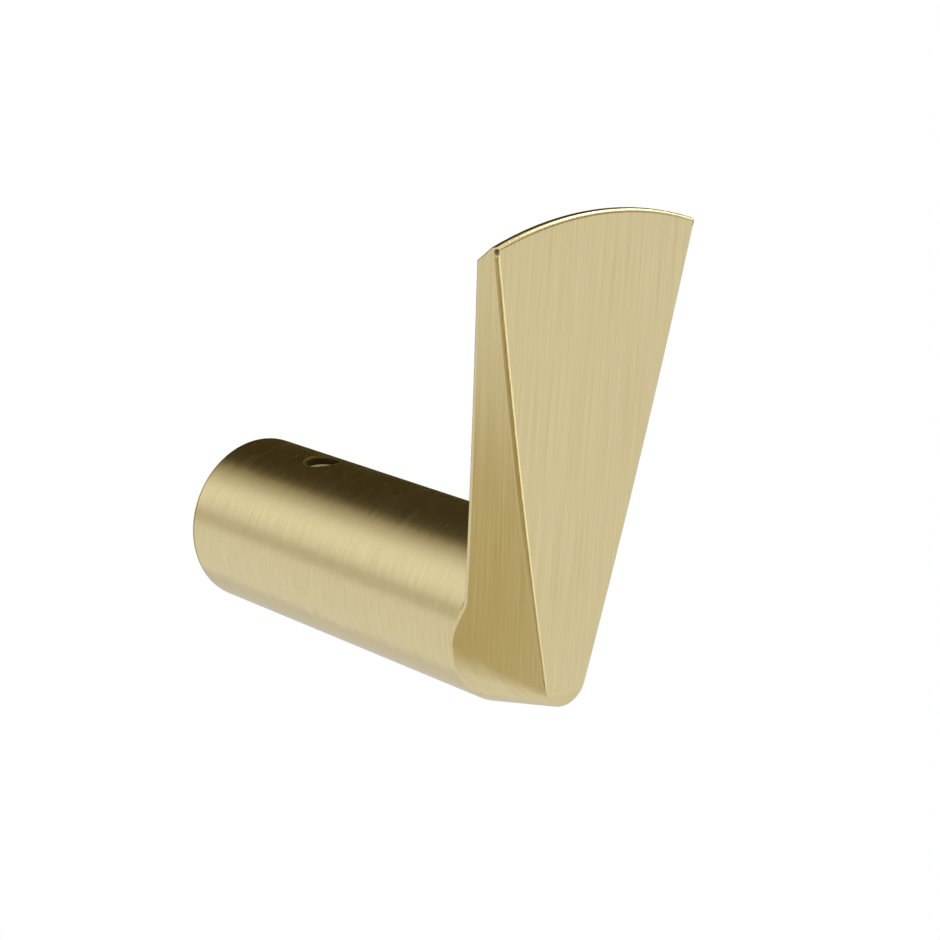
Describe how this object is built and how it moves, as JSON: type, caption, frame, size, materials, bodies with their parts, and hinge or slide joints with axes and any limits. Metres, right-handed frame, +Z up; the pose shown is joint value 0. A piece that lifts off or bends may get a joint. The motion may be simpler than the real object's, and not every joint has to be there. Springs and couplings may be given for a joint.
{
  "type": "robe hook",
  "caption": "Wall robe hook: a round post that carries a fan-shaped, forward-leaning blade, fixed on a hidden wall spigot by a grub screw.",
  "frame": {"origin": "centre of the wall face, on the post's axis, at the mouth of the wall screw's hole", "axes": "the wall is the plane Y = 0; +Y points into the wall, the blade faces -Y, +X is to the right seen from the front and +Z is up"},
  "size_m": [0.0352, 0.076, 0.0699],
  "materials": {
    "brushed_gold": "brushed, gold coloured",
    "turned_brass": "plain turned",
    "screw_steel": "dark, oiled"
  },
  "bodies": {
    "root": {"hook_body": "brushed_gold", "wall_spigot": "turned_brass", "grub_screw": "screw_steel"}
  },
  "joints": []
}
